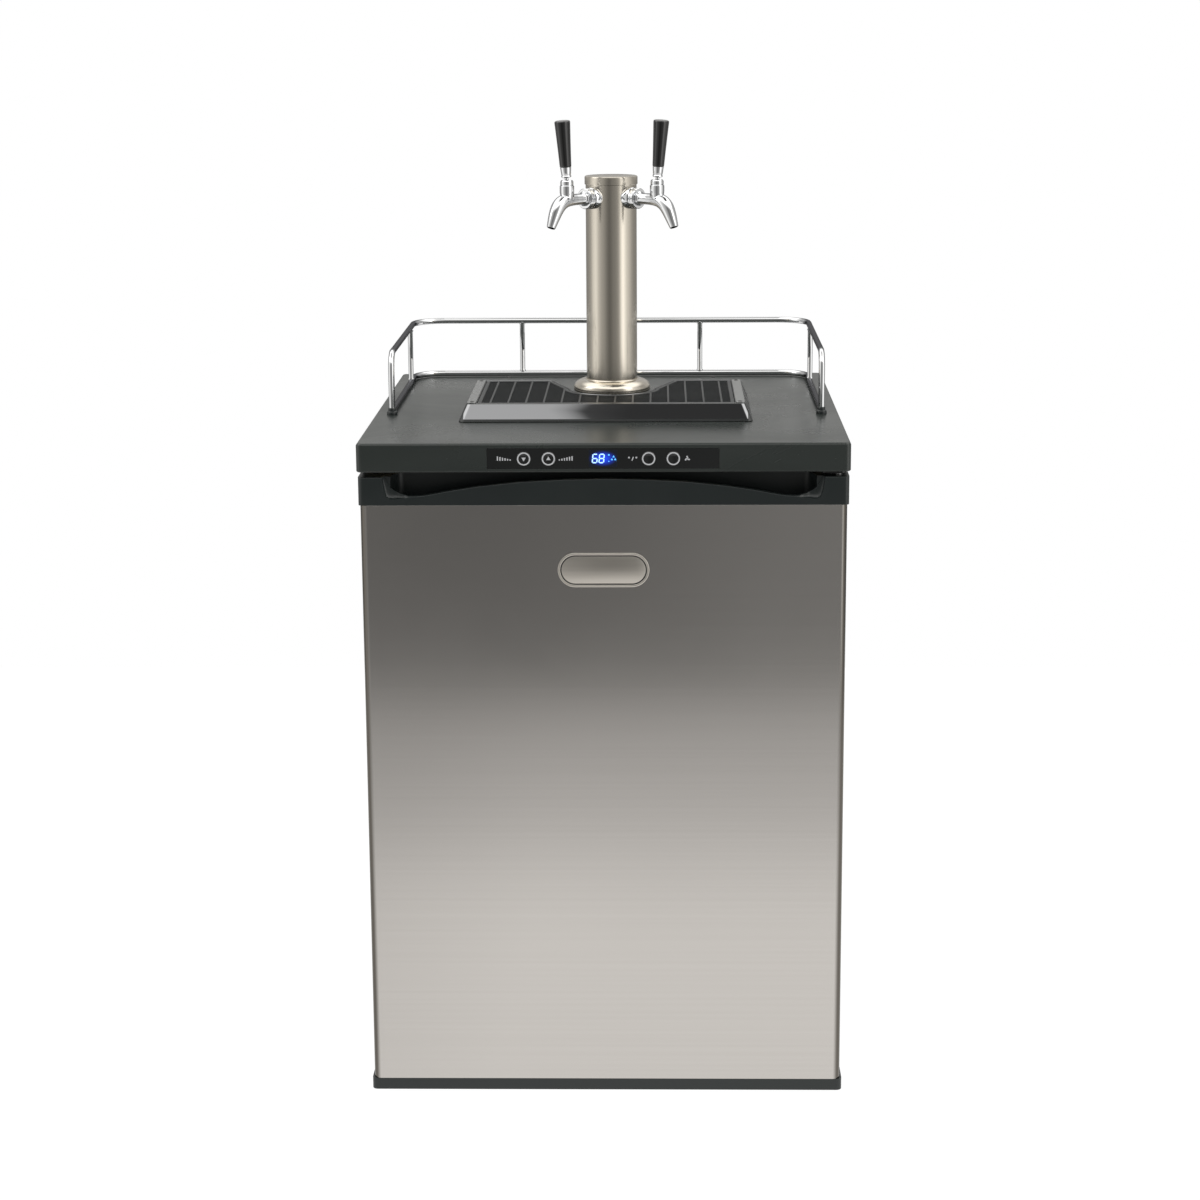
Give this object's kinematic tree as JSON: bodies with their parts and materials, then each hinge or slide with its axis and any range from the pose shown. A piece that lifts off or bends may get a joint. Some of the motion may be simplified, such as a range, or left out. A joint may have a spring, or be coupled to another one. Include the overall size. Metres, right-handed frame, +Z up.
{
  "type": "kegerator",
  "caption": "Refrigerated keg cabinet with a hinged brushed door, moulded worktop with control panel, guard rail, drip tray and a tower with lever taps.",
  "frame": {"origin": "on the floor, under the centre of the worktop", "axes": "+Z up, the door and the control panel face -Y, +X to the right seen from the front"},
  "size_m": [0.606, 0.63, 1.2374],
  "materials": {
    "cabinet_paint": "fine textured black enamel",
    "zinc_sheet": "zinc-coated sheet",
    "worktop_plastic": "fine grained satin moulding",
    "panel_gloss": "polished black",
    "display_glass": "polished window, lit blue from behind",
    "circuit_board": "solder resist",
    "button_plastic": "polished black with a pale printed ring",
    "door_steel": "brushed along the width",
    "trim_plastic": "satin moulding",
    "liner_plastic": "vacuum-formed, faint orange peel",
    "foam": "closed-cell foam",
    "rubber_black": "matt",
    "badge_plate": "satin with a bright rim",
    "bracket_steel": "black zinc",
    "steel_bright": "bright plated",
    "tower_steel": "fine vertical brushing, warm tint",
    "chrome": "mirror",
    "handle_gloss": "polished black",
    "tray_gloss": "polished black",
    "grille_black": "semi-gloss black coating",
    "plate_aluminium": "mill finish",
    "compressor_paint": "gloss black enamel"
  },
  "bodies": {
    "cabinet": {"side_panel_left": "cabinet_paint", "side_panel_right": "cabinet_paint", "back_panel": "zinc_sheet", "base_plate": "zinc_sheet", "top_plate": "zinc_sheet", "inner_liner": "liner_plastic", "cabinet_foam": "foam", "keg_floor_plate": "steel_bright", "evaporator_plate": "plate_aluminium", "fan_housing": "liner_plastic", "compressor": "compressor_paint", "compressor_mounts": "rubber_black", "gas_line_grommet": "rubber_black", "power_inlet": "trim_plastic", "levelling_feet": "rubber_black", "lid": "worktop_plastic", "lid_insulation": "foam", "lid_screws": "steel_bright", "control_bezel": "panel_gloss", "display_window": "display_glass", "control_board": "circuit_board", "hinge_bracket_top": "bracket_steel", "hinge_bracket_bottom": "bracket_steel", "hinge_pins": "steel_bright", "rail_top": "chrome", "rail_base": "chrome", "rail_posts": "chrome", "rail_feet": "trim_plastic", "tower_flange": "tower_steel", "tower_tube": "tower_steel", "tower_cap": "tower_steel", "tower_insulation": "foam", "shanks": "chrome", "coupling_nuts": "chrome", "tap_bonnets": "chrome", "tap_body_left": "chrome", "tap_body_right": "chrome"},
    "door": {"door_skin": "door_steel", "door_foam": "foam", "door_liner": "liner_plastic", "door_gasket": "rubber_black", "door_top_cap": "trim_plastic", "door_bottom_cap": "trim_plastic", "door_badge": "badge_plate"},
    "left_lever": {"lever_left": "chrome", "handle_left": "handle_gloss"},
    "right_lever": {"lever_right": "chrome", "handle_right": "handle_gloss"},
    "key_1": {"button_1": "button_plastic"},
    "key_2": {"button_2": "button_plastic"},
    "key_3": {"button_3": "button_plastic"},
    "key_4": {"button_4": "button_plastic"},
    "fan": {"fan_impeller": "trim_plastic"},
    "tray": {"drip_tray": "tray_gloss", "tray_trims": "steel_bright"},
    "grille": {"drip_grille": "grille_black"}
  },
  "joints": [
    {"name": "door_hinge", "type": "hinge", "parent": "cabinet", "child": "door", "pos_m": [0.289, -0.2905, 0.4], "axis": [0, 0, 1], "range_deg": [0, 110]},
    {"name": "left_tap", "type": "hinge", "parent": "cabinet", "child": "left_lever", "pos_m": [-0.04999, -0.05246, 1.1556], "axis": [0.7337, -0.6794, 0], "range_deg": [0, 24]},
    {"name": "right_tap", "type": "hinge", "parent": "cabinet", "child": "right_lever", "pos_m": [0.06646, -0.04799, 1.1556], "axis": [0.6794, 0.7337, 0], "range_deg": [0, 24]},
    {"name": "button_1_press", "type": "slide", "parent": "cabinet", "child": "key_1", "axis": [0, 1, 0], "range_m": [0, 0.0008], "stiffness_N_per_m": 1800},
    {"name": "button_2_press", "type": "slide", "parent": "cabinet", "child": "key_2", "axis": [0, 1, 0], "range_m": [0, 0.0008], "stiffness_N_per_m": 1800},
    {"name": "button_3_press", "type": "slide", "parent": "cabinet", "child": "key_3", "axis": [0, 1, 0], "range_m": [0, 0.0008], "stiffness_N_per_m": 1800},
    {"name": "button_4_press", "type": "slide", "parent": "cabinet", "child": "key_4", "axis": [0, 1, 0], "range_m": [0, 0.0008], "stiffness_N_per_m": 1800},
    {"name": "fan_spin", "type": "hinge", "parent": "cabinet", "child": "fan", "pos_m": [0, 0.236, 0.705], "axis": [0, 1, 0], "continuous": true},
    {"name": "tray_lift", "type": "slide", "parent": "cabinet", "child": "tray", "axis": [0, 0, 1], "range_m": [0, 0.08]},
    {"name": "grille_lift", "type": "slide", "parent": "tray", "child": "grille", "axis": [0, 0, 1], "range_m": [0, 0.05]}
  ]
}
